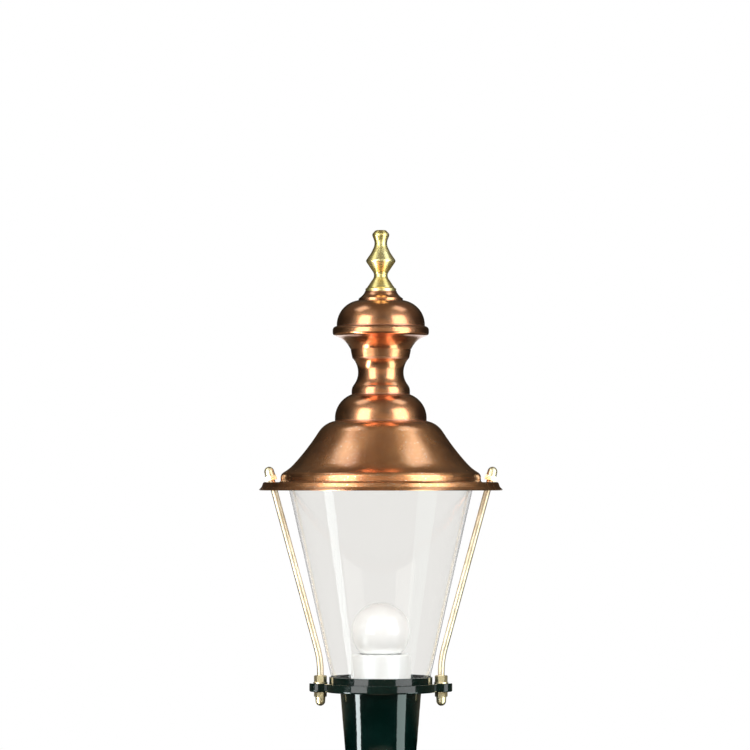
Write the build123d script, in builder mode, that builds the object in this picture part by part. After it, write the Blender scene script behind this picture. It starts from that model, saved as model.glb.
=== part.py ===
from build123d import *

import math
import os

os.makedirs("parts", exist_ok=True)

# A post top lantern. The origin is the centre of the post socket's foot, and +Z is up.
# The two tie rods stand on the left (-X) and on the right (+X). All sizes are in mm.

# ---------------------------------------------------------------- driving sizes

# Base casting: post socket, floor web, cup for the lampholder, flange with two ears
post_radius = 38.0
post_clearance = 0.2
post_depth = 62.0
post_seat_fillet = 1.0
gland_recess_radius = 28.0
gland_recess_depth = 23.0
web_thickness = 6.0
socket_height = 120.0
socket_foot_wall = 6.8
cup_radius = 46.0
cup_wall = 9.0
flange_thickness = 11.5
flange_rim = 7.5
flange_edge_radius = 2.2
ear_radius = 15.0
collar_wall = 2.0
collar_height = 9.0
cast_fillet = 2.0

# Shade and its gaskets
shade_foot_radius = 66.2
shade_top_radius = 125.5
shade_height = 262.8
shade_wall = 3.0
shade_side_gap = 0.45
shade_gasket_thickness = 3.0
roof_gasket_thickness = 3.0
gasket_overhang = 1.5

# Tie rods and their nuts
rod_radius = 4.5
rod_clearance = 0.3
rod_standoff = 11.6
rod_bend_height = 31.4
rod_bend_radius = 120.0
rod_stub = 13.0
slot_clearance = 0.4
nut_flats = 15.0
nut_height = 9.0
nut_chamfer = 1.2
thread_clearance = 0.1
washer_thickness = 1.6
washer_radius = 9.6
acorn_hex_height = 6.8
acorn_height = 19.0
acorn_dome_radius = 7.2
acorn_taper = 0.6
acorn_bore_depth = 14.5
acorn_seat_gap = 0.3

# Roof spinnings, from the rim upwards
roof_wall = 1.5
copper_wall = 1.2
step_standoff = 10.0
step_height = 13.2
step_round_drop = 6.7
step_round_width = 3.9
flange_width = 23.4
band_height = 6.5
band_round = 2.6
band_taper = 2.4
lip_width = 6.1
lip_drop = 3.7
roof_height = 82.8
cone_top_radius = 84.0
shoulder_height = 14.6
cone_waist_radius = 101.7
cone_waist_height = 39.6
cone_foot_radius = 117.7
cone_foot_height = 58.5

dome_radius = 62.1
dome_crown_radius = 34.3
dome_skirt = 3.7

ring_radius = 39.5
ring_height = 13.4
ring_land = 4.4
ring_top_radius = 36.2
waist_radius = 30.8
waist_curve_radius = 27.8
waist_top_radius = 37.4
waist_top_edge = 0.7
neck_bore_radius = 26.0

collar_foot_radius = 38.4
collar_top_radius = 41.0
collar_band_height = 12.4
groove_depth = 0.5
cavetto_rise = 17.4
cavetto_top_radius = 59.6
cavetto_radius = 33.0
quirk_height = 1.4
bead_radius = 65.2
bead_height = 12.4
bead_round = 5.2

cap_radius = 59.7
cap_crown_radius = 33.8
cap_skirt = 1.8
cap_step_radius = 30.0
cap_step_height = 2.6
cap_cavetto_height = 8.8
cap_cavetto_radius = 20.0
cap_top_radius = 21.6
cap_top_edge = 0.8

# Finial, with heights above its foot
finial_foot_radius = 20.8
finial_foot_edge = 3.6
finial_cone_radius = 18.8
finial_cone_foot = 4.8
finial_neck_radius = 9.2
finial_neck_height = 19.0
finial_cup_foot = 24.2
finial_neck_round = 8.0
finial_belly_radius = 20.6
finial_belly_height = 41.2
finial_belly_round = 3.2
finial_flank_radius = 12.9
finial_flank_height = 52.4
finial_flank_round = 30.0
finial_throat_radius = 8.2
finial_throat_height = 62.6
finial_throat_round = 14.0
finial_stem_radius = 8.7
finial_stem_height = 68.4
finial_stem_round = 12.0
finial_knob_radius = 12.2
finial_knob_height = 77.2
finial_knob_round = 4.0
finial_top_radius = 7.0
finial_height = 82.9
finial_top_round = 3.4
finial_bore_depth = 24.0

# Centre rod that clamps the spinnings, and the reflector under them
centre_rod_hole_gap = 0.5
centre_rod_engagement = 20.0
centre_rod_tail = 4.0
clamp_washer_radius = 15.0
clamp_washer_thickness = 2.0
reflector_wall = 1.2
reflector_rise = 34.8
reflector_crown_radius = 45.0
reflector_crown_fillet = 25.0
reflector_edge_radius = 112.0
reflector_edge_fillet = 8.0
reflector_rod_gap = 1.3

# Lampholder and its bracket
bracket_height = 14.0
bracket_width = 22.0
bracket_span = 64.0
bracket_foot = 10.5
bracket_wall = 2.0
holder_radius = 23.0
holder_foot_radius = 21.0
holder_height = 42.0
holder_floor = 14.0
holder_edge = 3.0
shell_radius = 14.5
shell_wall = 0.8
shell_height = 25.0
contact_rise = 3.4
contact_width = 6.0
contact_wall = 0.8
contact_length = 9.0
holder_screw_offset = 11.0

# Lamp
lamp_length = 118.0
globe_radius = 40.0
lamp_glass_wall = 0.9
lamp_cap_radius = 13.2
lamp_cap_height = 26.3
lamp_cap_wall = 0.7
lamp_neck_radius = 15.0
lamp_neck_angle = 38.0
lamp_contact_radius = 4.8
lamp_contact_height = 1.6
lamp_insulator_height = 4.6
lamp_contact_gap = 0.3
lamp_thread_depth = 0.8
lamp_thread_count = 5
lamp_thread_pitch = 3.6

# White shroud round the lampholder
shroud_radius = 40.5
shroud_wall = 1.8
shroud_globe_drop = 29.7
shroud_land = 7.0
shroud_mouth_radius = 29.0
shroud_edge = 2.6

# Small screws: shank radius, head radius, head height
small_screw_radius = 2.0
small_screw_head_radius = 3.6
small_screw_head_height = 2.6
screw_clearance = 0.15
shroud_screw_depth = 8.0
bracket_screw_depth = 4.5
holder_screw_depth = 8.0

# Clamping screws through the socket's wall
set_screw_radius = 4.0
set_screw_length = 8.0
set_screw_height = 22.0
set_screw_key = 4.0
set_screw_key_depth = 4.0
set_screw_clearance = 0.08
set_screw_inset = 0.3
set_screw_angles = (90.0, 210.0, 330.0)

# Cable gland in the floor web
gland_radius = 10.0
gland_flats = 24.0
gland_hex_height = 5.0
gland_cap_height = 14.0
gland_cable_radius = 5.5
gland_passage_radius = 6.5
gland_seal_radius = 8.4
gland_seal_height = 11.0
gland_thread_above_web = 7.0
locknut_height = 5.0

# Terminal block and earth screw on the floor web
terminal_length = 30.0
terminal_width = 16.0
terminal_height = 14.0
terminal_offset = 28.0
terminal_pitch = 9.0
terminal_screw_radius = 2.0
terminal_screw_height = 7.0
earth_offset = 30.0
earth_washer_radius = 5.5
earth_washer_thickness = 1.0

# ---------------------------------------------------------------- levels and radii

bore_radius = post_radius + post_clearance
socket_foot_radius = bore_radius + socket_foot_wall
socket_top_radius = cup_radius + cup_wall
web_foot = post_depth + gland_recess_depth
web_top = web_foot + web_thickness
deck = socket_height + flange_thickness
shroud_flange_radius = cup_radius + shroud_land
shade_slope = (shade_top_radius - shade_foot_radius) / shade_height
collar_depth = collar_height - shade_gasket_thickness
collar_bore_radius = shade_foot_radius + shade_slope * collar_depth + shade_side_gap
collar_radius = collar_bore_radius + collar_wall
flange_radius = collar_radius + flange_rim
rod_foot_offset = collar_radius + rod_standoff

shade_foot = deck + shade_gasket_thickness
shade_top = shade_foot + shade_height
reflector_rim = shade_top + roof_gasket_thickness
rim_underside = reflector_rim + reflector_wall
rim_top = rim_underside + roof_wall

step_radius = shade_top_radius + step_standoff
band_radius = step_radius + flange_width
lip_radius = band_radius + lip_width
rod_top_offset = (step_radius + band_radius) / 2
bend_level = deck + rod_bend_height
rod_lean = math.atan2(rod_top_offset - rod_foot_offset, rim_top - bend_level)
rod_section = rod_radius / math.cos(rod_lean)

roof_top = rim_top + roof_height
dome_skirt_top = roof_top + dome_skirt
dome_centre_radius = dome_radius - dome_crown_radius
dome_top = dome_skirt_top + math.sqrt(dome_crown_radius**2 - (ring_radius - dome_centre_radius)**2)
ring_top = dome_top + ring_height
waist_centre_radius = waist_radius + waist_curve_radius
waist_middle = ring_top + math.sqrt(waist_curve_radius**2 - (waist_centre_radius - ring_top_radius)**2)
waist_rise = math.sqrt(waist_curve_radius**2 - (waist_centre_radius - waist_top_radius)**2)
waist_top = waist_middle + waist_rise + waist_top_edge
cavetto_foot = waist_top + collar_band_height
cavetto_top = cavetto_foot + cavetto_rise
bead_top = cavetto_top + quirk_height + bead_height
cap_skirt_top = bead_top + cap_skirt
cap_centre_radius = cap_radius - cap_crown_radius
cap_step_foot = cap_skirt_top + math.sqrt(cap_crown_radius**2 - (cap_step_radius - cap_centre_radius)**2)
cap_step_top = cap_step_foot + cap_step_height
cap_top = cap_step_top + cap_cavetto_height + cap_top_edge

holder_foot = web_top + bracket_height
holder_seat = holder_foot + holder_floor
lamp_foot = holder_seat + contact_rise + lamp_contact_gap
lamp_cap_top = lamp_foot + lamp_cap_height
globe_centre = lamp_foot + lamp_length - globe_radius
shroud_top = globe_centre - shroud_globe_drop
centre_hole_radius = rod_radius + centre_rod_hole_gap


def save(piece, name):
    """Label a finished piece and write it to its own file."""
    piece.part.label = name
    export_step(piece.part, f"parts/{name}.step")


# ---------------------------------------------------------------- fastener blanks
# Each stands on the XY plane round the Z axis, and is placed by Locations later.


def hex_body(flats, height):
    """A hexagonal prism with the corners of both ends turned off."""
    corner = flats / math.sqrt(3)
    with BuildPart() as body:
        with BuildSketch():
            RegularPolygon(radius=flats / 2, side_count=6, major_radius=False)
        extrude(amount=height)
        with BuildSketch(Plane.XZ):
            with BuildLine():
                Polyline(
                    (0, 0),
                    (corner - nut_chamfer, 0),
                    (corner, nut_chamfer / 2),
                    (corner, height - nut_chamfer / 2),
                    (corner - nut_chamfer, height),
                    (0, height),
                    close=True,
                )
            make_face()
        revolve(axis=Axis.Z, mode=Mode.INTERSECT)
    return body.part


def pan_screw(shank_length):
    """A small pan head screw, its shank pointing down from the XY plane."""
    with BuildPart() as screw:
        with BuildSketch():
            Circle(small_screw_head_radius)
        extrude(amount=small_screw_head_height)
        fillet(screw.edges().group_by(Axis.Z)[-1], radius=small_screw_head_height / 3)
        with BuildSketch(Plane.XY.offset(small_screw_head_height)):
            Rectangle(2 * small_screw_head_radius, small_screw_head_radius / 4)
        extrude(amount=-small_screw_head_height / 3, mode=Mode.SUBTRACT)
        with BuildSketch():
            Circle(small_screw_radius)
        extrude(amount=-shank_length)
    return screw.part


with BuildPart() as hex_nut:
    add(hex_body(nut_flats, nut_height))
    with BuildSketch():
        Circle(rod_radius + thread_clearance)
    extrude(amount=nut_height, mode=Mode.SUBTRACT)

with BuildPart() as acorn_nut:
    add(hex_body(nut_flats, acorn_hex_height))
    with BuildSketch(Plane.XZ):
        with BuildLine():
            tip_radius = acorn_dome_radius - acorn_taper
            tip_centre = (0, acorn_height - tip_radius)
            tip = CenterArc(tip_centre, tip_radius, 0, 90)
            Polyline(tip @ 1, (0, 0), (acorn_dome_radius, 0), tip @ 0)
        make_face()
    revolve(axis=Axis.Z)
    with BuildSketch():
        Circle(rod_radius + thread_clearance)
    extrude(amount=acorn_bore_depth, mode=Mode.SUBTRACT)

# ---------------------------------------------------------------- base casting

with BuildPart() as base_casting:
    # Flange plate: a disc with an ear at each end of a slot shape
    with BuildSketch(Plane.XY.offset(socket_height)):
        Circle(flange_radius)
        SlotCenterToCenter(2 * rod_foot_offset, 2 * ear_radius)
    extrude(amount=flange_thickness)
    fillet(base_casting.edges().group_by(Axis.Z)[0], radius=flange_edge_radius)
    fillet(base_casting.edges().group_by(Axis.Z)[-1], radius=flange_edge_radius / 2)
    # Tapered socket
    with BuildSketch(Plane.XZ):
        Polygon(
            (0, 0),
            (socket_foot_radius, 0),
            (socket_top_radius, socket_height),
            (socket_top_radius, deck - flange_edge_radius),
            (0, deck - flange_edge_radius),
            align=None,
        )
    revolve(axis=Axis.Z)
    neck_edges = base_casting.edges().filter_by(GeomType.CIRCLE).group_by(Axis.Z)[1]
    fillet(neck_edges, radius=cast_fillet)
    # Collar round the shade's foot
    with BuildSketch(Plane.XY.offset(deck)):
        Circle(collar_radius)
        Circle(collar_bore_radius, mode=Mode.SUBTRACT)
    extrude(amount=collar_height)
    fillet(base_casting.edges().group_by(Axis.Z)[-1], radius=collar_wall / 4)
    # Post bore with a seat for the post's end, recess for the gland, cup for the lampholder
    with BuildSketch():
        Circle(bore_radius)
    extrude(amount=post_depth, mode=Mode.SUBTRACT)
    fillet(base_casting.edges().filter_by_position(Axis.Z, post_depth, post_depth), radius=post_seat_fillet)
    with BuildSketch(Plane.XY.offset(post_depth)):
        Circle(gland_recess_radius)
    extrude(amount=gland_recess_depth, mode=Mode.SUBTRACT)
    with BuildSketch(Plane.XY.offset(web_top)):
        Circle(cup_radius)
    extrude(amount=deck - web_top, mode=Mode.SUBTRACT)
    # Rod holes through the ears
    with BuildSketch(Plane.XY.offset(socket_height)):
        with Locations((rod_foot_offset, 0), (-rod_foot_offset, 0)):
            Circle(rod_radius + rod_clearance)
    extrude(amount=flange_thickness, mode=Mode.SUBTRACT)
    # Gland hole through the web
    with BuildSketch(Plane.XY.offset(web_foot)):
        Circle(gland_radius + thread_clearance)
    extrude(amount=web_thickness, mode=Mode.SUBTRACT)
    # Tapped holes for the bracket and the earth screw
    foot_screw_offset = bracket_span / 2 + (bracket_wall + bracket_foot) / 2
    with BuildSketch(Plane.XY.offset(web_top)):
        with Locations((foot_screw_offset, 0), (-foot_screw_offset, 0), (0, -earth_offset)):
            Circle(small_screw_radius + screw_clearance)
    extrude(amount=-bracket_screw_depth - screw_clearance, mode=Mode.SUBTRACT)
    # Tapped holes for the shroud
    shroud_screw_ring = cup_radius + shroud_land / 2
    with BuildSketch(Plane.XY.offset(deck)):
        with PolarLocations(shroud_screw_ring, 3, start_angle=30):
            Circle(small_screw_radius + screw_clearance)
    extrude(amount=-shroud_screw_depth, mode=Mode.SUBTRACT)
    # Radial tapped holes for the clamping screws
    for angle in set_screw_angles:
        outward = Vector(1, 0, 0).rotate(Axis.Z, angle)
        with BuildSketch(Plane(origin=(0, 0, set_screw_height), z_dir=outward)):
            Circle(set_screw_radius + set_screw_clearance)
        extrude(amount=socket_top_radius, mode=Mode.SUBTRACT)
save(base_casting, "base_casting")

for number, angle in enumerate(set_screw_angles, start=1):
    outward = Vector(1, 0, 0).rotate(Axis.Z, angle)
    tip = outward * (bore_radius + set_screw_inset) + Vector(0, 0, set_screw_height)
    with BuildPart() as set_screw:
        with BuildSketch(Plane(origin=tip, z_dir=outward)):
            Circle(set_screw_radius)
        extrude(amount=set_screw_length)
        outer_end = set_screw.faces().filter_by(GeomType.PLANE).sort_by(Axis(tip, outward))[-1]
        with BuildSketch(Plane(origin=outer_end.center(), z_dir=outward)):
            RegularPolygon(radius=set_screw_key / 2, side_count=6, major_radius=False)
        extrude(amount=-set_screw_key_depth, mode=Mode.SUBTRACT)
    save(set_screw, f"set_screw_{number}")

# ---------------------------------------------------------------- cable gland

with BuildPart() as cable_gland:
    with Locations((0, 0, web_foot - gland_hex_height)):
        add(hex_body(gland_flats, gland_hex_height))
    with BuildSketch(Plane.XY.offset(web_foot)):
        Circle(gland_radius)
    extrude(amount=web_thickness + gland_thread_above_web)
    with BuildSketch(Plane.XY.offset(web_foot - gland_hex_height)):
        Circle(gland_passage_radius)
    extrude(amount=gland_hex_height + web_thickness + gland_thread_above_web, mode=Mode.SUBTRACT)
save(cable_gland, "cable_gland")

gland_cap_top = web_foot - gland_hex_height
gland_cap_foot = gland_cap_top - gland_cap_height
with BuildPart() as gland_cap:
    with Locations((0, 0, gland_cap_foot)):
        add(hex_body(gland_flats, gland_cap_height))
    with BuildSketch(Plane.XY.offset(gland_cap_foot)):
        Circle(gland_passage_radius)
    extrude(amount=gland_cap_height, mode=Mode.SUBTRACT)
    with BuildSketch(Plane.XY.offset(gland_cap_top)):
        Circle(gland_seal_radius + thread_clearance)
    extrude(amount=-gland_seal_height, mode=Mode.SUBTRACT)
save(gland_cap, "gland_cap")

with BuildPart() as gland_seal:
    with BuildSketch(Plane.XY.offset(gland_cap_top)):
        Circle(gland_seal_radius)
        Circle(gland_cable_radius, mode=Mode.SUBTRACT)
    extrude(amount=-gland_seal_height)
save(gland_seal, "gland_seal")

with BuildPart() as gland_locknut:
    with Locations((0, 0, web_top)):
        add(hex_body(gland_flats, locknut_height))
    with BuildSketch(Plane.XY.offset(web_top)):
        Circle(gland_radius + thread_clearance)
    extrude(amount=locknut_height, mode=Mode.SUBTRACT)
save(gland_locknut, "gland_locknut")

# ---------------------------------------------------------------- wiring on the web

terminal_places = [(k * terminal_pitch, terminal_offset) for k in (-1, 0, 1)]
with BuildPart() as terminal_block:
    with BuildSketch(Plane.XY.offset(web_top)):
        with Locations((0, terminal_offset)):
            Rectangle(terminal_length, terminal_width)
    extrude(amount=terminal_height)
    fillet(terminal_block.edges().filter_by(Axis.Z), radius=terminal_screw_radius / 2)
    with BuildSketch(Plane.XY.offset(web_top + terminal_height)):
        with Locations(*terminal_places):
            Circle(terminal_screw_radius + screw_clearance)
    extrude(amount=-terminal_screw_height - terminal_screw_radius, mode=Mode.SUBTRACT)
save(terminal_block, "terminal_block")

with BuildPart() as terminal_screws:
    with BuildSketch(Plane.XY.offset(web_top + terminal_height - terminal_screw_radius)):
        with Locations(*terminal_places):
            Circle(terminal_screw_radius)
    extrude(amount=-terminal_screw_height)
save(terminal_screws, "terminal_screws")

with BuildPart() as earth_washer:
    with BuildSketch(Plane.XY.offset(web_top)):
        with Locations((0, -earth_offset)):
            Circle(earth_washer_radius)
            Circle(small_screw_radius + screw_clearance, mode=Mode.SUBTRACT)
    extrude(amount=earth_washer_thickness)
save(earth_washer, "earth_washer")

with BuildPart() as earth_screw:
    with Locations((0, -earth_offset, web_top + earth_washer_thickness)):
        add(pan_screw(bracket_screw_depth + earth_washer_thickness))
save(earth_screw, "earth_screw")

# ---------------------------------------------------------------- lampholder

holder_screw_places = [(holder_screw_offset, 0), (-holder_screw_offset, 0)]
foot_screw_places = [(foot_screw_offset, 0), (-foot_screw_offset, 0)]

with BuildPart() as lampholder_bracket:
    # A bridge of bent strip: two feet on the web, a flat top under the lampholder
    with BuildSketch(Plane.XZ):
        with BuildLine():
            half = bracket_span / 2
            Polyline(
                (-half - bracket_foot, web_top),
                (-half, web_top),
                (-half, holder_foot - bracket_wall),
                (half, holder_foot - bracket_wall),
                (half, web_top),
                (half + bracket_foot, web_top),
                (half + bracket_foot, web_top + bracket_wall),
                (half + bracket_wall, web_top + bracket_wall),
                (half + bracket_wall, holder_foot),
                (-half - bracket_wall, holder_foot),
                (-half - bracket_wall, web_top + bracket_wall),
                (-half - bracket_foot, web_top + bracket_wall),
                close=True,
            )
        make_face()
    extrude(amount=bracket_width / 2, both=True)
    with BuildSketch(Plane.XY.offset(web_top)):
        with Locations(*foot_screw_places, *holder_screw_places):
            Circle(small_screw_radius + screw_clearance)
    extrude(amount=bracket_height, mode=Mode.SUBTRACT)
save(lampholder_bracket, "lampholder_bracket")

with BuildPart() as bracket_screws:
    with Locations(*[(x, y, web_top + bracket_wall) for x, y in foot_screw_places]):
        add(pan_screw(bracket_screw_depth + bracket_wall))
save(bracket_screws, "bracket_screws")

with BuildPart() as lampholder:
    with BuildSketch(Plane.XZ):
        with BuildLine():
            Polyline(
                (0, holder_foot),
                (holder_foot_radius, holder_foot),
                (holder_radius, holder_seat),
                (holder_radius, holder_foot + holder_height),
                (0, holder_foot + holder_height),
                close=True,
            )
        make_face()
    revolve(axis=Axis.Z)
    fillet(lampholder.edges().group_by(Axis.Z)[-1], radius=holder_edge)
    with BuildSketch(Plane.XY.offset(holder_seat)):
        Circle(shell_radius + thread_clearance)
    extrude(amount=holder_height - holder_floor, mode=Mode.SUBTRACT)
    with BuildSketch(Plane.XY.offset(holder_foot)):
        with Locations(*holder_screw_places):
            Circle(small_screw_radius + screw_clearance)
    extrude(amount=holder_screw_depth + screw_clearance, mode=Mode.SUBTRACT)
save(lampholder, "lampholder")

with BuildPart() as lampholder_screws:
    with Locations(*[(x, y, holder_foot - bracket_wall) for x, y in holder_screw_places]):
        with Locations(Rotation(180, 0, 0)):
            add(pan_screw(holder_screw_depth + bracket_wall))
save(lampholder_screws, "lampholder_screws")

with BuildPart() as lampholder_shell:
    with BuildSketch(Plane.XY.offset(holder_seat)):
        Circle(shell_radius)
        Circle(shell_radius - shell_wall, mode=Mode.SUBTRACT)
    extrude(amount=shell_height)
save(lampholder_shell, "lampholder_shell")

with BuildPart() as centre_contact:
    # A springy tongue: flat on the porcelain, then up to the lamp's foot
    with BuildSketch(Plane.XZ):
        with BuildLine():
            Polyline(
                (-contact_length, holder_seat),
                (-contact_length / 2, holder_seat),
                (0, holder_seat + contact_rise - contact_wall),
                (contact_length / 3, holder_seat + contact_rise - contact_wall),
                (contact_length / 3, holder_seat + contact_rise),
                (-contact_wall, holder_seat + contact_rise),
                (-contact_length / 2 - contact_wall, holder_seat + contact_wall),
                (-contact_length, holder_seat + contact_wall),
                close=True,
            )
        make_face()
    extrude(amount=contact_width / 2, both=True)
save(centre_contact, "centre_contact")

# ---------------------------------------------------------------- lamp

with BuildPart() as lamp_globe:
    # Opal glass: a thin ball that narrows into the screw cap
    with BuildSketch(Plane.XZ):
        with BuildLine():
            ends = []
            for inset in (0, lamp_glass_wall):
                ball = CenterArc((0, globe_centre), globe_radius - inset, 90, lamp_neck_angle - 180)
                neck_foot = (lamp_neck_radius - inset, lamp_cap_top)
                Spline(ball @ 1, neck_foot, tangents=[ball % 1, (0, -1)])
                ends.append((ball @ 0, neck_foot))
            for outer, inner in zip(*ends):
                Line(outer, inner)
        make_face()
    revolve(axis=Axis.Z)
save(lamp_globe, "lamp_globe")

insulator_top = lamp_foot + lamp_contact_height + lamp_insulator_height
with BuildPart() as lamp_cap:
    # Screw cap: a thin cup with ridges, closed at the top round the glass neck
    with BuildSketch(Plane.XZ):
        Polygon(
            (lamp_cap_radius - lamp_thread_depth, insulator_top),
            (lamp_cap_radius - lamp_thread_depth, lamp_cap_top - lamp_thread_pitch),
            (lamp_neck_radius, lamp_cap_top),
            (lamp_neck_radius - lamp_glass_wall - lamp_cap_wall, lamp_cap_top),
            (lamp_cap_radius - lamp_thread_depth - lamp_cap_wall, lamp_cap_top - lamp_thread_pitch),
            (lamp_cap_radius - lamp_thread_depth - lamp_cap_wall, insulator_top),
            align=None,
        )
    revolve(axis=Axis.Z)
    first_ridge = insulator_top + lamp_thread_pitch / 2
    for turn in range(lamp_thread_count):
        with BuildSketch(Plane.XZ):
            with Locations((lamp_cap_radius - lamp_thread_depth, first_ridge + turn * lamp_thread_pitch)):
                Circle(lamp_thread_depth)
        revolve(axis=Axis.Z)
save(lamp_cap, "lamp_cap")

with BuildPart() as lamp_insulator:
    with BuildSketch(Plane.XZ):
        Polygon(
            (0, lamp_foot + lamp_contact_height),
            (lamp_contact_radius, lamp_foot + lamp_contact_height),
            (lamp_cap_radius - lamp_thread_depth, insulator_top),
            (0, insulator_top),
            align=None,
        )
    revolve(axis=Axis.Z)
save(lamp_insulator, "lamp_insulator")

with BuildPart() as lamp_contact:
    with BuildSketch(Plane.XY.offset(lamp_foot)):
        Circle(lamp_contact_radius)
    extrude(amount=lamp_contact_height)
    fillet(lamp_contact.edges().group_by(Axis.Z)[0], radius=lamp_contact_height / 2)
save(lamp_contact, "lamp_contact")

# ---------------------------------------------------------------- shroud

with BuildPart() as lamp_shroud:
    # A white can with a flat foot on the deck and a mouth round the lamp's neck
    with BuildSketch(Plane.XZ):
        with BuildLine():
            FilletPolyline(
                (shroud_mouth_radius, shroud_top),
                (shroud_radius, shroud_top),
                (shroud_radius, deck + shroud_wall),
                (shroud_flange_radius, deck + shroud_wall),
                radius=shroud_edge,
            )
            offset(amount=shroud_wall, side=Side.RIGHT)
        make_face()
    revolve(axis=Axis.Z)
    with BuildSketch(Plane.XY.offset(deck)):
        with PolarLocations(shroud_screw_ring, 3, start_angle=30):
            Circle(small_screw_radius + screw_clearance)
    extrude(amount=shroud_wall, mode=Mode.SUBTRACT)
save(lamp_shroud, "lamp_shroud")

with BuildPart() as shroud_screws:
    with PolarLocations(shroud_screw_ring, 3, start_angle=30):
        with Locations((0, 0, deck + shroud_wall)):
            add(pan_screw(shroud_screw_depth))
save(shroud_screws, "shroud_screws")

# ---------------------------------------------------------------- shade and gaskets

with BuildPart() as shade_gasket:
    with BuildSketch(Plane.XY.offset(deck)):
        Circle(shade_foot_radius)
        Circle(shade_foot_radius - shade_wall - gasket_overhang, mode=Mode.SUBTRACT)
    extrude(amount=shade_gasket_thickness)
save(shade_gasket, "shade_gasket")

with BuildPart() as shade:
    # A clear cone, open at both ends
    with BuildSketch(Plane.XZ):
        Polygon(
            (shade_foot_radius, shade_foot),
            (shade_top_radius, shade_top),
            (shade_top_radius - shade_wall, shade_top),
            (shade_foot_radius - shade_wall, shade_foot),
            align=None,
        )
    revolve(axis=Axis.Z)
save(shade, "shade")

with BuildPart() as roof_gasket:
    with BuildSketch(Plane.XY.offset(shade_top)):
        Circle(shade_top_radius + gasket_overhang)
        Circle(shade_top_radius - shade_wall - gasket_overhang, mode=Mode.SUBTRACT)
    extrude(amount=roof_gasket_thickness)
save(roof_gasket, "roof_gasket")

# ---------------------------------------------------------------- tie rods and nuts

rod_axis = Vector(math.sin(rod_lean), 0, math.cos(rod_lean))
rod_pierce = Vector(rod_top_offset, 0, rim_top)
rod_end = rod_pierce + rod_axis * rod_stub
acorn_foot = socket_height - acorn_bore_depth + rod_clearance

with BuildPart() as tie_rod_right:
    with BuildLine(Plane.XZ) as rod_path:
        FilletPolyline(
            (rod_foot_offset, acorn_foot),
            (rod_foot_offset, bend_level),
            (rod_end.X, rod_end.Z),
            radius=rod_bend_radius,
        )
    with BuildSketch(Plane.XY.offset(acorn_foot)):
        with Locations((rod_foot_offset, 0)):
            Circle(rod_radius)
    sweep(path=rod_path.line)
    chamfer(tie_rod_right.edges().filter_by(GeomType.CIRCLE).group_by(Axis.Z)[0], length=rod_radius / 6)
    chamfer(tie_rod_right.edges().filter_by(GeomType.CIRCLE).group_by(Axis.Z)[-1], length=rod_radius / 6)
save(tie_rod_right, "tie_rod_right")

with BuildPart() as tie_rod_left:
    add(tie_rod_right.part.mirror(Plane.YZ))
save(tie_rod_left, "tie_rod_left")

ear_places = [(rod_foot_offset, 0), (-rod_foot_offset, 0)]

with BuildPart() as ear_washers:
    with BuildSketch(Plane.XY.offset(deck)):
        with Locations(*ear_places):
            Circle(washer_radius)
            Circle(rod_radius + rod_clearance, mode=Mode.SUBTRACT)
    extrude(amount=washer_thickness)
save(ear_washers, "ear_washers")

with BuildPart() as ear_nuts:
    with Locations(*[(x, y, deck + washer_thickness) for x, y in ear_places]):
        add(hex_nut.part)
save(ear_nuts, "ear_nuts")

with BuildPart() as lower_acorn_nuts:
    with Locations(*[(x, y, socket_height) for x, y in ear_places]):
        with Locations(Rotation(180, 0, 0)):
            add(acorn_nut.part)
save(lower_acorn_nuts, "lower_acorn_nuts")

# The leaning acorn nuts touch the roof's flange with the outer side of their foot.
nut_rise = acorn_seat_gap + nut_flats / 2 * math.sin(rod_lean)
nut_seat = rod_pierce + rod_axis * (nut_rise / math.cos(rod_lean))

with BuildPart() as top_acorn_nut_right:
    with Locations(Location((nut_seat.X, 0, nut_seat.Z), (0, math.degrees(rod_lean), 0))):
        add(acorn_nut.part.rotate(Axis.Z, 30))
save(top_acorn_nut_right, "top_acorn_nut_right")

with BuildPart() as top_acorn_nut_left:
    add(top_acorn_nut_right.part.mirror(Plane.YZ))
save(top_acorn_nut_left, "top_acorn_nut_left")

# ---------------------------------------------------------------- roof spinnings
# Each outline runs from the top outwards and down, and the wall lies inside it.

with BuildPart() as roof_cone:
    with BuildSketch(Plane.XZ):
        with BuildLine():
            cone_top = (cone_top_radius, roof_top - shoulder_height)
            cone_waist = (cone_waist_radius, roof_top - cone_waist_height)
            cone_foot = (cone_foot_radius, roof_top - cone_foot_height)
            step_edge = (step_radius - step_round_width, rim_top + step_height)
            flank = ThreePointArc(cone_top, cone_waist, cone_foot)
            seat = Line((centre_hole_radius, roof_top), (dome_radius, roof_top))
            TangentArc(flank @ 0, seat @ 1, tangent=-(flank % 0))
            flare = TangentArc(flank @ 1, step_edge, tangent=flank % 1)
            round_foot = (step_radius, rim_top + step_height - step_round_drop)
            TangentArc(round_foot, flare @ 1, tangent=(0, 1))
            FilletPolyline(
                round_foot,
                (step_radius, rim_top),
                (band_radius, rim_top),
                (band_radius + band_taper, rim_top - band_height),
                (lip_radius, rim_top - band_height - lip_drop),
                radius=band_round,
            )
            offset(amount=roof_wall, side=Side.RIGHT)
        make_face()
    revolve(axis=Axis.Z)
    # Radial slots that let the roof lift straight up past the leaning rods
    slot_inner = rod_top_offset - rod_section - slot_clearance
    slot_outer = rod_end.X + rod_radius * math.cos(rod_lean) + slot_clearance
    slot_middle = (slot_inner + slot_outer) / 2
    with BuildSketch(Plane.XY.offset(rim_underside)):
        with Locations((slot_middle, 0), (-slot_middle, 0)):
            SlotOverall(slot_outer - slot_inner, 2 * (rod_radius + slot_clearance))
    extrude(amount=roof_wall, mode=Mode.SUBTRACT)
save(roof_cone, "roof_cone")

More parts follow.
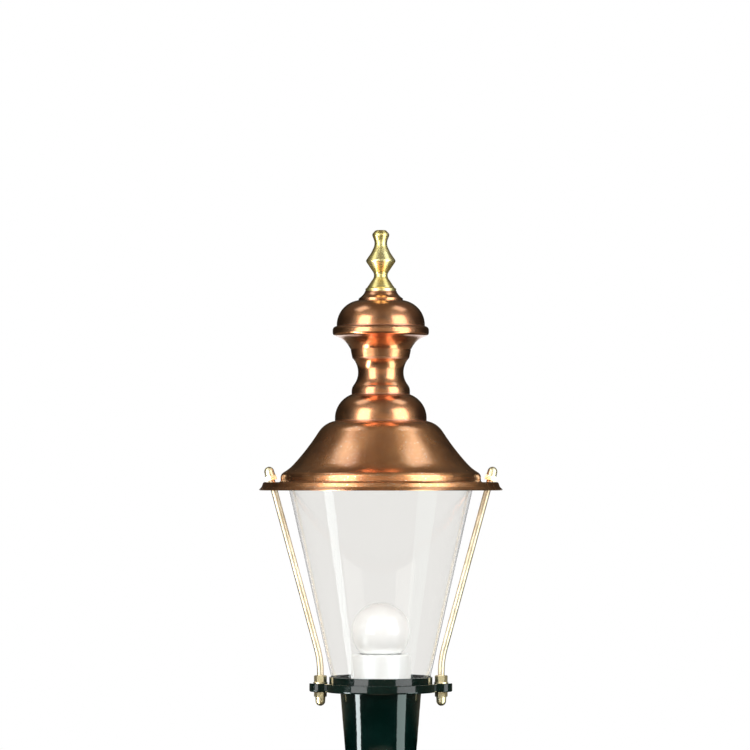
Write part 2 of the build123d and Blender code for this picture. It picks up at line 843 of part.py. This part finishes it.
with BuildPart() as lower_dome:
    with BuildSketch(Plane.XZ):
        with BuildLine():
            crown_angle = math.degrees(math.acos((ring_radius - dome_centre_radius) / dome_crown_radius))
            Line((centre_hole_radius, dome_top), (ring_radius, dome_top))
            CenterArc((dome_centre_radius, dome_skirt_top), dome_crown_radius, crown_angle, -crown_angle)
            Line((dome_radius, dome_skirt_top), (dome_radius, roof_top))
            offset(amount=copper_wall, side=Side.RIGHT)
        make_face()
    revolve(axis=Axis.Z)
save(lower_dome, "lower_dome")

with BuildPart() as neck_waist:
    with BuildSketch(Plane.XZ):
        with BuildLine():
            upper = (waist_top_radius, waist_middle + waist_rise)
            lower = (ring_top_radius, ring_top)
            Polyline((neck_bore_radius, waist_top), (waist_top_radius, waist_top), upper)
            ThreePointArc(upper, (waist_radius, waist_middle), lower)
            ovolo = TangentArc((ring_radius, dome_top + ring_land), lower, tangent=(0, 1))
            Polyline(ovolo @ 0, (ring_radius, dome_top), (neck_bore_radius, dome_top))
            offset(amount=copper_wall, side=Side.RIGHT)
        make_face()
    revolve(axis=Axis.Z)
save(neck_waist, "neck_waist")

with BuildPart() as neck_flare:
    with BuildSketch(Plane.XZ):
        with BuildLine():
            bead = FilletPolyline(
                (cap_centre_radius, bead_top),
                (bead_radius, bead_top),
                (bead_radius, bead_top - bead_height),
                (cavetto_top_radius, cavetto_top),
                radius=bead_round,
            )
            hollow = RadiusArc(bead @ 1, (collar_top_radius, cavetto_foot), -cavetto_radius)
            Polyline(
                hollow @ 1,
                (collar_foot_radius, waist_top),
                (neck_bore_radius, waist_top),
            )
            offset(amount=copper_wall, side=Side.LEFT)
        make_face()
    revolve(axis=Axis.Z)
    # Fine turned groove under the hollow
    with BuildSketch(Plane.XZ):
        with Locations((collar_top_radius, cavetto_foot)):
            Circle(groove_depth)
    revolve(axis=Axis.Z, mode=Mode.SUBTRACT)
save(neck_flare, "neck_flare")

with BuildPart() as cap_dome:
    with BuildSketch(Plane.XZ):
        with BuildLine():
            crown_angle = math.degrees(math.acos((cap_step_radius - cap_centre_radius) / cap_crown_radius))
            top_edge = Polyline(
                (centre_hole_radius, cap_top),
                (cap_top_radius, cap_top),
                (cap_top_radius, cap_top - cap_top_edge),
            )
            RadiusArc(top_edge @ 1, (cap_step_radius, cap_step_top), -cap_cavetto_radius)
            Line((cap_step_radius, cap_step_top), (cap_step_radius, cap_step_foot))
            CenterArc((cap_centre_radius, cap_skirt_top), cap_crown_radius, crown_angle, -crown_angle)
            Line((cap_radius, cap_skirt_top), (cap_radius, bead_top))
            offset(amount=copper_wall, side=Side.RIGHT)
        make_face()
    revolve(axis=Axis.Z)
save(cap_dome, "cap_dome")

# ---------------------------------------------------------------- finial

with BuildPart() as finial:
    with BuildSketch(Plane(origin=(0, 0, cap_top), x_dir=(1, 0, 0), z_dir=(0, -1, 0))):
        with BuildLine():
            foot = Polyline(
                (0, 0),
                (finial_foot_radius, 0),
                (finial_foot_radius, finial_foot_edge),
                (finial_cone_radius, finial_cone_foot),
            )
            stem = FilletPolyline(
                foot @ 1,
                (finial_neck_radius, finial_neck_height),
                (finial_neck_radius, finial_cup_foot),
                (finial_belly_radius, finial_belly_height),
                (finial_flank_radius, finial_flank_height),
                (finial_throat_radius, finial_throat_height),
                (finial_stem_radius, finial_stem_height),
                (finial_knob_radius, finial_knob_height),
                (finial_top_radius, finial_height),
                (0, finial_height),
                radius=[
                    finial_neck_round,
                    finial_neck_round,
                    finial_belly_round,
                    finial_flank_round,
                    finial_throat_round,
                    finial_stem_round,
                    finial_knob_round,
                    finial_top_round,
                ],
            )
            Line(stem @ 1, foot @ 0)
        make_face()
    revolve(axis=Axis.Z)
    with BuildSketch(Plane.XY.offset(cap_top)):
        Circle(rod_radius + thread_clearance)
    extrude(amount=finial_bore_depth, mode=Mode.SUBTRACT)
save(finial, "finial")

# ---------------------------------------------------------------- reflector and centre rod

reflector_top = rim_underside + reflector_rise
reflector_radius = (
    rod_top_offset
    - (rim_top - reflector_rim) * math.tan(rod_lean)
    - rod_section
    - reflector_rod_gap
)

with BuildPart() as reflector:
    # An enamelled dish whose flat rim bears under the roof's flange
    with BuildSketch(Plane.XZ):
        with BuildLine():
            FilletPolyline(
                (centre_hole_radius, reflector_top),
                (reflector_crown_radius, reflector_top),
                (reflector_edge_radius, rim_underside),
                (reflector_radius, rim_underside),
                radius=[reflector_crown_fillet, reflector_edge_fillet],
            )
            offset(amount=reflector_wall, side=Side.RIGHT)
        make_face()
    revolve(axis=Axis.Z)
save(reflector, "reflector")

clamp_level = roof_top - roof_wall
washer_level = reflector_top - reflector_wall
rod_tail = washer_level - clamp_washer_thickness - nut_height - centre_rod_tail
centre_rod_top = cap_top + centre_rod_engagement

with BuildPart() as centre_rod:
    with BuildSketch(Plane.XY.offset(rod_tail)):
        Circle(rod_radius)
    extrude(amount=centre_rod_top - rod_tail)
    chamfer(centre_rod.edges().filter_by(GeomType.CIRCLE), length=rod_radius / 6)
save(centre_rod, "centre_rod")

with BuildPart() as roof_clamp_washer:
    with BuildSketch(Plane.XY.offset(clamp_level)):
        Circle(clamp_washer_radius)
        Circle(centre_hole_radius, mode=Mode.SUBTRACT)
    extrude(amount=-clamp_washer_thickness)
save(roof_clamp_washer, "roof_clamp_washer")

with BuildPart() as roof_clamp_nut:
    with Locations((0, 0, clamp_level - clamp_washer_thickness - nut_height)):
        add(hex_nut.part)
save(roof_clamp_nut, "roof_clamp_nut")

with BuildPart() as reflector_lock_nut:
    with Locations((0, 0, reflector_top)):
        add(hex_nut.part)
save(reflector_lock_nut, "reflector_lock_nut")

with BuildPart() as reflector_washer:
    with BuildSketch(Plane.XY.offset(washer_level)):
        Circle(clamp_washer_radius)
        Circle(centre_hole_radius, mode=Mode.SUBTRACT)
    extrude(amount=-clamp_washer_thickness)
save(reflector_washer, "reflector_washer")

with BuildPart() as reflector_nut:
    with Locations((0, 0, washer_level - clamp_washer_thickness - nut_height)):
        add(hex_nut.part)
save(reflector_nut, "reflector_nut")
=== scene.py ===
import functools
import math

import bmesh
import bpy
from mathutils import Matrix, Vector


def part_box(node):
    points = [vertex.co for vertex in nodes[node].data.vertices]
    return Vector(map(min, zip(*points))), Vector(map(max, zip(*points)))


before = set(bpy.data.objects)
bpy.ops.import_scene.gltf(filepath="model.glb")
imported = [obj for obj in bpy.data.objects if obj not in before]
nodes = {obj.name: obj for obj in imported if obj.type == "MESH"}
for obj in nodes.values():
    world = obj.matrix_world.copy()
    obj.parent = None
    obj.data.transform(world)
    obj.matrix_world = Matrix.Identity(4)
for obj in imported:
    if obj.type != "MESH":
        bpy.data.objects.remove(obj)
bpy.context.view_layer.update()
scene = bpy.context.scene

# A post top lantern in front of a white background. Lengths are in metres, and the camera looks
# along +Y. A ramp is low end, high end, value at the low end, value at the high end.

# ---------------------------------------------------------------- camera values
# The photograph's frame is 750 pixels square, and its scale is taken in the plane of the axis.
METRES_PER_PIXEL = 0.0013536
FRAME_PIXELS = 750
SENSOR_MM = 36.0
LENS_MM = 180.0
CAMERA_DISTANCE = METRES_PER_PIXEL * FRAME_PIXELS * LENS_MM / SENSOR_MM
CAMERA_SIDE = -0.00785
EYE_LEVEL = 0.399
AIM_LEVEL = 0.548

# ---------------------------------------------------------------- world and floor values
WHITE = (1.0, 1.0, 1.0)
WORLD_LEVEL = 0.56
FLOOR_RADIUS = 9.0
FLOOR_SEGMENTS = 96
FLOOR_TONE = (0.62, 0.62, 0.62)
# Share of plain white in the floor, against distance from the axis
FLOOR_WHITE = (0.25, 0.62, 0.42, 1.0)

# ---------------------------------------------------------------- room values
# The room is a dome on the ground, with an opening behind the lantern
ROOM_RADIUS = 2.6
ROOM_SUBDIVISIONS = 5
ROOM_GROUND = 0.001
ROOM_OPENING = 0.97
ROOM_TINT = (1.0, 0.90, 0.64)
# Ramps of its light: the wall behind the camera, the top, and the ground against distance
FRONT_GLOW = (-1.0, -0.72, 0.34, 0.016)
TOP_GLOW = (0.45, 0.95, 0.0, 0.12)
GROUND_GLOW = (0.42, 0.85, 0.0, 0.11)
# What rises less than this, as a share of its distance, counts as ground
GROUND_RISE = 0.004

# ---------------------------------------------------------------- lamp values
# Angles go round from the camera towards +X. A sheen is light that only mirror surfaces see.
SHEEN_TINT = (0.84, 1.05, 1.18)
SOFTBOX_DISTANCE = 1.75
SOFTBOX_HEIGHT = 2.6
SOFTBOX_MIDDLE = 1.25
# Each softbox: degrees, width, radiance, radiance of its sheen, colour
LEFT_BOX = (-44.0, 1.05, 3.4, 17.0, (1.0, 1.0, 0.985))
RIGHT_BOX = (52.0, 1.25, 2.8, 16.5, (0.985, 0.99, 1.0))
# White cards on the floor carry the sheen of the softboxes up to the lantern's foot
CARD_NEAR = 0.16
CARD_FAR = 1.7
CARD_LEVEL = 0.003
# Each card: degrees, degrees wide, radiance, colour
LEFT_CARD = (-68.0, 14.0, 14.0, (0.90, 1.0, 1.0))
RIGHT_CARD = (61.0, 28.0, 4.2, (0.80, 1.0, 0.95))
# Two high boxes at the sides give the cone its sheen
HIGH_BOX_AZIMUTH = 92.0
HIGH_BOX_ELEVATION = 66.0
HIGH_BOX_DISTANCE = 2.4
HIGH_BOX_SIZE = (0.70, 0.70)
HIGH_BOX_RADIANCE = 1.5
HIGH_BOX_TARGET = (0, 0, 0.45)


# ---------------------------------------------------------------- node kit


class NodeKit:
    """Short calls that add nodes to one tree and link them."""

    def __init__(self, tree):
        self.tree = tree

    def node(self, kind, **settings):
        made = self.tree.nodes.new(kind)
        for key, value in settings.items():
            setattr(made, key, value)
        return made

    def plug(self, value, socket):
        """A number or colour is set on the socket, an output is linked to it."""
        if isinstance(value, bpy.types.NodeSocket):
            self.tree.links.new(value, socket)
        elif hasattr(socket.default_value, "__len__") and len(value) == 3 and len(socket.default_value) == 4:
            socket.default_value = (*value, 1.0)
        else:
            socket.default_value = value

    @functools.cached_property
    def place(self):
        """Object coordinates."""
        return self.node("ShaderNodeTexCoord").outputs["Object"]

    @functools.cached_property
    def rays(self):
        """The kinds of ray, by name."""
        return self.node("ShaderNodeLightPath").outputs

    def math(self, operation, first, second=0.0, third=0.0):
        made = self.node("ShaderNodeMath", operation=operation)
        for socket, value in zip(made.inputs, (first, second, third)):
            self.plug(value, socket)
        return made.outputs[0]

    def length(self, vector):
        made = self.node("ShaderNodeVectorMath", operation="LENGTH")
        self.plug(vector, made.inputs[0])
        return made.outputs["Value"]

    def unit(self, vector):
        made = self.node("ShaderNodeVectorMath", operation="NORMALIZE")
        self.plug(vector, made.inputs[0])
        return made.outputs["Vector"]

    def split(self, vector):
        made = self.node("ShaderNodeSeparateXYZ")
        self.plug(vector, made.inputs[0])
        return made.outputs

    def join(self, x, y, z):
        made = self.node("ShaderNodeCombineXYZ")
        for socket, value in zip(made.inputs, (x, y, z)):
            self.plug(value, socket)
        return made.outputs[0]

    def span(self, value, low, high, to_low=0.0, to_high=1.0):
        """Maps value from low..high to to_low..to_high with soft ends, and holds it beyond."""
        made = self.node("ShaderNodeMapRange", interpolation_type="SMOOTHSTEP")
        for socket, item in zip(made.inputs, (value, low, high, to_low, to_high)):
            self.plug(item, socket)
        return made.outputs["Result"]

    def white_share(self):
        """1 for camera, mirror and glass rays, which all show the white background."""
        seen = self.math("MAXIMUM", self.rays["Is Camera Ray"], self.rays["Is Glossy Ray"])
        return self.math("MAXIMUM", seen, self.rays["Is Transmission Ray"])

    def glow(self, tint, strength):
        made = self.node("ShaderNodeEmission")
        self.plug(tint, made.inputs["Color"])
        self.plug(strength, made.inputs["Strength"])
        return made.outputs[0]

    def mix_shaders(self, factor, first, second):
        made = self.node("ShaderNodeMixShader")
        for socket, value in zip(made.inputs, (factor, first, second)):
            self.plug(value, socket)
        return made.outputs[0]


class Look(NodeKit):
    """A node material being built: a Principled shader, and the textures that drive it."""

    def __init__(self, name):
        self.material = bpy.data.materials.new(name)
        self.material.use_nodes = True
        super().__init__(self.material.node_tree)
        self.shader = self.tree.nodes["Principled BSDF"]

    def set(self, **values):
        """Values for the Principled shader, with underscores for the spaces in a socket's name."""
        for key, value in values.items():
            self.plug(value, self.shader.inputs[key.replace("_", " ")])

    def noise(self, scale, detail=2.0, roughness=0.5, vector=None):
        made = self.node("ShaderNodeTexNoise")
        self.plug(self.place if vector is None else vector, made.inputs["Vector"])
        self.plug(scale, made.inputs["Scale"])
        self.plug(detail, made.inputs["Detail"])
        self.plug(roughness, made.inputs["Roughness"])
        return made.outputs["Fac"]

    def blend(self, factor, first, second):
        made = self.node("ShaderNodeMix", data_type="RGBA")
        self.plug(factor, made.inputs["Factor"])
        self.plug(first, made.inputs[6])
        self.plug(second, made.inputs[7])
        return made.outputs[2]

    def bump(self, height, strength, distance):
        made = self.node("ShaderNodeBump")
        self.plug(strength, made.inputs["Strength"])
        self.plug(distance, made.inputs["Distance"])
        self.plug(height, made.inputs["Height"])
        return made.outputs["Normal"]

    def rings(self, pitch):
        """Fine rings round the axis, as a spinning or turning tool leaves them, from 0 to 1."""
        x, y, z = self.split(self.place)
        radius = self.math("SQRT", self.math("ADD", self.math("MULTIPLY", x, x), self.math("MULTIPLY", y, y)))
        along = self.join(self.math("DIVIDE", radius, pitch), self.math("DIVIDE", z, pitch), 0.0)
        return self.noise(1.0, detail=3.0, roughness=0.6, vector=along)


# ---------------------------------------------------------------- materials


def copper(name, roughness, speck_strength, seams):
    """Spun copper under clear lacquer: rings, brown clouds, pale specks, darker seams."""
    brown, orange = (0.63, 0.208, 0.060), (0.78, 0.305, 0.096)
    ring_tone, seam_tone, speck_tone = (0.44, 0.14, 0.06), (0.23, 0.085, 0.045), (0.98, 0.80, 0.66)
    look = Look(name)
    clouds = look.noise(16.0)
    tone = look.blend(look.span(clouds, 0.25, 0.75), brown, orange)
    rings = look.rings(pitch=0.0011)
    tone = look.blend(look.span(rings, 0.35, 0.75, 0.0, 0.20), tone, ring_tone)
    height = look.split(look.place)[2]
    stain = 0.0
    for level in seams:
        gap = look.math("ABSOLUTE", look.math("SUBTRACT", height, level))
        stain = look.math("MAXIMUM", look.span(gap, 0.0004, 0.0030, 0.75, 0.0), stain)
    tone = look.blend(stain, tone, seam_tone)
    speck = look.span(look.noise(620.0, detail=1.0), 0.66, 0.74, 0.0, speck_strength)
    tone = look.blend(speck, tone, speck_tone)
    smear = look.noise(60.0)
    rough = look.span(smear, 0.2, 0.8, roughness - 0.02, roughness + 0.03)
    rough = look.math("ADD", rough, look.math("MULTIPLY", stain, 0.12))
    look.set(Base_Color=tone, Metallic=1.0, Roughness=rough)
    look.set(Normal=look.bump(rings, strength=0.10, distance=0.0003))
    look.set(Coat_Weight=1.0, Coat_Roughness=0.20, Coat_IOR=1.7)
    return look.material


def turned_brass(name, roughness):
    """Bright brass off the lathe: close rings and a few darker clouds."""
    gold, pale, ring_tone = (0.80, 0.58, 0.20), (0.92, 0.72, 0.34), (0.58, 0.38, 0.10)
    look = Look(name)
    clouds = look.noise(45.0, detail=3.0)
    tone = look.blend(look.span(clouds, 0.35, 0.7), gold, pale)
    rings = look.rings(pitch=0.0006)
    tone = look.blend(look.span(rings, 0.4, 0.8, 0.0, 0.12), tone, ring_tone)
    rough = look.span(rings, 0.2, 0.8, roughness - 0.03, roughness + 0.05)
    look.set(Base_Color=tone, Metallic=1.0, Roughness=rough)
    look.set(Normal=look.bump(rings, strength=0.03, distance=0.0002))
    return look.material


def cut_brass(name, roughness):
    """Machined brass of nuts: fine grain, dull spots from handling."""
    dull, bright = (0.82, 0.62, 0.34), (0.95, 0.79, 0.52)
    look = Look(name)
    clouds = look.noise(120.0, detail=4.0)
    tone = look.blend(look.span(clouds, 0.35, 0.7), dull, bright)
    rough = look.span(clouds, 0.3, 0.75, roughness + 0.06, roughness - 0.03)
    look.set(Base_Color=tone, Metallic=1.0, Roughness=rough)
    look.set(Normal=look.bump(look.noise(2600.0), strength=0.05, distance=0.0001))
    return look.material


def drawn_brass(name):
    """Satin brass rod: long faint lines along the rod, and duller stretches."""
    dull, pale, line_tone = (0.50, 0.37, 0.24), (0.70, 0.56, 0.40), (0.50, 0.34, 0.19)
    across, along = 900.0, 14.0
    look = Look(name)
    x, y, z = look.split(look.place)
    x, y, z = (look.math("MULTIPLY", part, scale) for part, scale in ((x, across), (y, across), (z, along)))
    lines = look.noise(1.0, detail=3.0, vector=look.join(x, y, z))
    clouds = look.noise(26.0, detail=4.0)
    tone = look.blend(look.span(clouds, 0.35, 0.68), dull, pale)
    tone = look.blend(look.span(lines, 0.4, 0.8, 0.0, 0.25), tone, line_tone)
    look.set(Base_Color=tone, Metallic=1.0, Roughness=look.span(lines, 0.2, 0.8, 0.30, 0.42))
    look.set(Normal=look.bump(lines, strength=0.08, distance=0.0002))
    return look.material


def green_paint(name):
    """Gloss dark green paint on a casting: faint orange peel, and a little dust."""
    deep, fresh, dust_tone = (0.0006, 0.0075, 0.0056), (0.0018, 0.0125, 0.0098), (0.10, 0.12, 0.11)
    look = Look(name)
    clouds = look.noise(30.0, detail=3.0)
    tone = look.blend(look.span(clouds, 0.35, 0.7), deep, fresh)
    dust = look.noise(900.0, detail=3.0, roughness=0.7)
    tone = look.blend(look.span(dust, 0.66, 0.76, 0.0, 0.25), tone, dust_tone)
    peel = look.bump(look.noise(260.0, detail=1.0), strength=0.10, distance=0.0004)
    look.set(Base_Color=tone, Roughness=look.span(dust, 0.5, 0.8, 0.11, 0.24), Normal=peel)
    look.set(Specular_IOR_Level=0.15, Coat_Weight=1.0, Coat_Roughness=0.03, Coat_IOR=1.46, Coat_Normal=peel)
    return look.material


def clear_plastic(name):
    """Clear moulded plastic: smooth and faintly grey, and it lets light through to the lamp."""
    look = Look(name)
    waves = look.bump(look.noise(9.0, detail=1.0), strength=0.04, distance=0.002)
    haze = look.noise(55.0, detail=3.0)
    look.set(Base_Color=(0.908, 0.901, 0.886), Transmission_Weight=1.0, IOR=1.22, Normal=waves)
    look.set(Specular_IOR_Level=0.30, Roughness=look.span(haze, 0.45, 0.8, 0.0, 0.035))
    clear = look.node("ShaderNodeBsdfTransparent")
    look.plug((0.96, 0.96, 0.96), clear.inputs["Color"])
    let_through = look.math("MAXIMUM", look.rays["Is Shadow Ray"], look.rays["Is Diffuse Ray"])
    surface = look.mix_shaders(let_through, look.shader.outputs[0], clear.outputs[0])
    look.plug(surface, look.tree.nodes["Material Output"].inputs["Surface"])
    return look.material


def opal_glass(name):
    """Opal lamp glass: glossy milk white, a little warmer where it thins at the neck."""
    milk, chalk, cream = (0.975, 0.97, 0.95), (0.99, 0.985, 0.97), (0.88, 0.84, 0.75)
    neck_share = 0.3
    look = Look(name)
    height = look.split(look.place)[2]
    globe_low, globe_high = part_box("lamp_globe")
    neck_top = globe_low.z + neck_share * (globe_high.z - globe_low.z)
    warm = look.span(height, globe_low.z, neck_top, 0.6, 0.0)
    tone = look.blend(look.noise(22.0), milk, chalk)
    look.set(Base_Color=look.blend(warm, tone, cream))
    look.set(Roughness=look.span(look.noise(70.0), 0.3, 0.8, 0.12, 0.22))
    look.set(Coat_Weight=0.3, Coat_Roughness=0.04)
    return look.material


def speckled(name, dark, pale, scale, roughness, metallic=0.0, bump=0.05, coat=0.0):
    """A finish that wanders between two tones, with a fine grain in its surface."""
    grain_to_clouds = 18.0
    look = Look(name)
    clouds = look.noise(scale, detail=4.0, roughness=0.6)
    grain = look.noise(scale * grain_to_clouds)
    look.set(Base_Color=look.blend(look.span(clouds, 0.32, 0.7), dark, pale), Metallic=metallic)
    look.set(Roughness=look.span(grain, 0.25, 0.75, roughness - 0.04, roughness + 0.06))
    look.set(Normal=look.bump(grain, strength=bump, distance=0.0002), Coat_Weight=coat, Coat_Roughness=0.08)
    return look.material


def enamel(name):
    return speckled(name, (0.92, 0.915, 0.895), (0.965, 0.96, 0.945), scale=25.0, roughness=0.34)


def porcelain(name):
    return speckled(name, (0.80, 0.79, 0.75), (0.90, 0.89, 0.86), scale=40.0, roughness=0.16, coat=0.5)


def zinc_steel(name):
    return speckled(name, (0.50, 0.51, 0.53), (0.70, 0.70, 0.70), scale=220.0, roughness=0.30, metallic=1.0)


def nickel(name):
    return speckled(name, (0.66, 0.64, 0.60), (0.80, 0.78, 0.74), scale=90.0, roughness=0.18, metallic=1.0)


def black_nylon(name):
    return speckled(name, (0.016, 0.016, 0.017), (0.030, 0.030, 0.031), scale=120.0, roughness=0.45, bump=0.2)


def white_nylon(name):
    return speckled(name, (0.78, 0.77, 0.73), (0.86, 0.85, 0.82), scale=90.0, roughness=0.42, bump=0.15)


def black_rubber(name):
    return speckled(name, (0.018, 0.018, 0.018), (0.034, 0.033, 0.032), scale=160.0, roughness=0.62, bump=0.3)


def black_glass(name):
    return speckled(name, (0.010, 0.008, 0.012), (0.022, 0.018, 0.024), scale=60.0, roughness=0.10)


def seam_levels(*names):
    """The heights where one spinning sits on the next."""
    levels = set()
    for name in names:
        low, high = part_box(name)
        levels.add(round(low.z, 4))
    return sorted(levels)


seams = seam_levels("lower_dome", "neck_waist", "neck_flare", "cap_dome", "finial")

looks = {
    "spun_copper": copper("spun_copper", roughness=0.20, speck_strength=0.3, seams=seams),
    "cone_copper": copper("cone_copper", roughness=0.25, speck_strength=0.8, seams=seams[:1]),
    "turned_brass": turned_brass("turned_brass", roughness=0.27),
    "nut_brass": cut_brass("nut_brass", roughness=0.30),
    "rod_brass": drawn_brass("rod_brass"),
    "green_paint": green_paint("green_paint"),
    "clear_plastic": clear_plastic("clear_plastic"),
    "opal_glass": opal_glass("opal_glass"),
    "white_enamel": enamel("white_enamel"),
    "porcelain": porcelain("porcelain"),
    "zinc_steel": zinc_steel("zinc_steel"),
    "nickel": nickel("nickel"),
    "black_nylon": black_nylon("black_nylon"),
    "white_nylon": white_nylon("white_nylon"),
    "black_rubber": black_rubber("black_rubber"),
    "black_glass": black_glass("black_glass"),
}

LOOK_OF = {
    "base_casting": "green_paint",
    "shade": "clear_plastic",
    "lamp_globe": "opal_glass",
    "lamp_shroud": "white_enamel",
    "shroud_screws": "white_enamel",
    "reflector": "white_enamel",
    "roof_cone": "cone_copper",
    "lower_dome": "spun_copper",
    "neck_waist": "spun_copper",
    "neck_flare": "spun_copper",
    "cap_dome": "spun_copper",
    "finial": "turned_brass",
    "tie_rod_right": "rod_brass",
    "tie_rod_left": "rod_brass",
    "centre_rod": "rod_brass",
    "ear_washers": "nut_brass",
    "ear_nuts": "nut_brass",
    "lower_acorn_nuts": "nut_brass",
    "top_acorn_nut_right": "nut_brass",
    "top_acorn_nut_left": "nut_brass",
    "centre_contact": "nut_brass",
    "shade_gasket": "black_rubber",
    "roof_gasket": "black_rubber",
    "gland_seal": "black_rubber",
    "cable_gland": "black_nylon",
    "gland_cap": "black_nylon",
    "gland_locknut": "black_nylon",
    "terminal_block": "white_nylon",
    "lampholder": "porcelain",
    "lampholder_shell": "nickel",
    "lamp_cap": "nickel",
    "lamp_contact": "nickel",
    "lamp_insulator": "black_glass",
}
OTHER_LOOK = "zinc_steel"

for name, piece in nodes.items():
    piece.data.materials.clear()
    piece.data.materials.append(looks[LOOK_OF.get(name, OTHER_LOOK)])

# ---------------------------------------------------------------- stage


def stage_material(name):
    made = bpy.data.materials.new(name)
    made.use_nodes = True
    made.node_tree.nodes.clear()
    return made, NodeKit(made.node_tree)


def set_surface(kit, shader):
    kit.plug(shader, kit.node("ShaderNodeOutputMaterial").inputs["Surface"])


def stage_object(name, work, material):
    """Turns a bmesh into an object of the scene."""
    mesh = bpy.data.meshes.new(name)
    work.to_mesh(mesh)
    work.free()
    mesh.materials.append(material)
    made = bpy.data.objects.new(name, mesh)
    scene.collection.objects.link(made)
    return made


def mirror_only(piece):
    """Shows a stage piece to mirror surfaces alone."""
    piece.visible_camera = False
    piece.visible_diffuse = False
    piece.visible_transmission = False
    piece.visible_shadow = False


def make_world():
    """Plain white where it is seen, and a lower level as a light."""
    world = bpy.data.worlds.new("white_room")
    scene.world = world
    world.use_nodes = True
    kit = NodeKit(world.node_tree)
    back = kit.tree.nodes["Background"]
    kit.plug(WHITE, back.inputs["Color"])
    kit.plug(kit.span(kit.white_share(), 0.0, 1.0, WORLD_LEVEL, 1.0), back.inputs["Strength"])


def make_floor():
    """White floor: near the lantern it is lit and takes its shadow, further out it is plain white."""
    material, kit = stage_material("floor")
    paint = kit.node("ShaderNodeBsdfDiffuse")
    kit.plug(FLOOR_TONE, paint.inputs["Color"])
    white = kit.math("MULTIPLY", kit.span(kit.length(kit.place), *FLOOR_WHITE), kit.white_share())
    set_surface(kit, kit.mix_shaders(white, paint.outputs[0], kit.glow(WHITE, 1.0)))
    work = bmesh.new()
    bmesh.ops.create_circle(work, cap_ends=True, segments=FLOOR_SEGMENTS, radius=FLOOR_RADIUS)
    floor = stage_object("floor", work, material)


def make_room():
    """The dim studio round the lantern, which only its mirror surfaces see. It is open behind."""
    material, kit = stage_material("room")
    toward = kit.split(kit.unit(kit.place))
    ground = kit.math("LESS_THAN", toward["Z"], GROUND_RISE)
    wall = kit.math("SUBTRACT", 1.0, ground)
    light = kit.span(toward["Z"], *TOP_GLOW)
    light = kit.math("MULTIPLY_ADD", kit.span(kit.length(kit.place), *GROUND_GLOW), ground, light)
    light = kit.math("MULTIPLY_ADD", kit.span(toward["Y"], *FRONT_GLOW), wall, light)
    set_surface(kit, kit.glow(ROOM_TINT, light))
    material.cycles.emission_sampling = "NONE"
    work = bmesh.new()
    bmesh.ops.create_icosphere(work, subdivisions=ROOM_SUBDIVISIONS, radius=ROOM_RADIUS)
    for corner in work.verts:
        corner.co.z = max(corner.co.z, ROOM_GROUND)
    opening = [face for face in work.faces if face.calc_center_median().normalized().y > ROOM_OPENING]
    bmesh.ops.delete(work, geom=opening, context="FACES")
    room = stage_object("room", work, material)
    mirror_only(room)


def direction(azimuth, elevation=0.0):
    """A unit vector, azimuth degrees round from the camera towards +X and elevation degrees up."""
    turn, rise = math.radians(azimuth), math.radians(elevation)
    return Vector((math.sin(turn) * math.cos(rise), -math.cos(turn) * math.cos(rise), math.sin(rise)))


def sheen_card(name, card_values):
    """A card on the floor from a softbox to the lantern's foot, which only mirror surfaces see."""
    azimuth, spread, radiance, tint = card_values
    material, kit = stage_material(name)
    set_surface(kit, kit.glow(tint, radiance))
    start, end = azimuth - spread / 2, azimuth + spread / 2
    reach = ((start, CARD_NEAR), (end, CARD_NEAR), (end, CARD_FAR), (start, CARD_FAR))
    level = Vector((0, 0, CARD_LEVEL))
    work = bmesh.new()
    work.faces.new([work.verts.new(direction(turn) * far + level) for turn, far in reach])
    card = stage_object(name, work, material)
    mirror_only(card)


def area_light(name, place, target, size, radiance, tint, sheen_only):
    lamp = bpy.data.lights.new(name, "AREA")
    lamp.shape = "RECTANGLE"
    lamp.size, lamp.size_y = size
    lamp.energy = radiance * math.pi * size[0] * size[1]
    lamp.color = tint
    made = bpy.data.objects.new(name, lamp)
    made.location = place
    made.rotation_euler = (Vector(target) - Vector(place)).to_track_quat("-Z", "Y").to_euler()
    made.visible_camera = False
    made.visible_diffuse = not sheen_only
    scene.collection.objects.link(made)


def softbox(name, box):
    """A tall upright softbox that faces the lantern, and its sheen."""
    azimuth, width, radiance, sheen, tint = box
    middle = Vector((0, 0, SOFTBOX_MIDDLE))
    place = direction(azimuth) * SOFTBOX_DISTANCE + middle
    size = (width, SOFTBOX_HEIGHT)
    area_light(name, place, middle, size, radiance, tint, sheen_only=False)
    area_light(name + "_sheen", place, middle, size, sheen, SHEEN_TINT, sheen_only=True)


def high_box(name, azimuth):
    place = direction(azimuth, HIGH_BOX_ELEVATION) * HIGH_BOX_DISTANCE
    area_light(name, place, HIGH_BOX_TARGET, HIGH_BOX_SIZE, HIGH_BOX_RADIANCE, SHEEN_TINT, sheen_only=True)


def make_camera():
    camera = bpy.data.objects.new("camera", bpy.data.cameras.new("camera"))
    camera.data.sensor_width = SENSOR_MM
    camera.data.lens = LENS_MM
    camera.location = (CAMERA_SIDE, -CAMERA_DISTANCE, EYE_LEVEL)
    pitch = math.atan((AIM_LEVEL - EYE_LEVEL) / CAMERA_DISTANCE)
    camera.rotation_euler = (math.radians(90.0) + pitch, 0.0, 0.0)
    scene.collection.objects.link(camera)
    scene.camera = camera


make_world()
make_floor()
make_room()
softbox("left_box", LEFT_BOX)
softbox("right_box", RIGHT_BOX)
sheen_card("left_card", LEFT_CARD)
sheen_card("right_card", RIGHT_CARD)
high_box("left_high_box", -HIGH_BOX_AZIMUTH)
high_box("right_high_box", HIGH_BOX_AZIMUTH)
make_camera()

scene.view_settings.view_transform = "Standard"
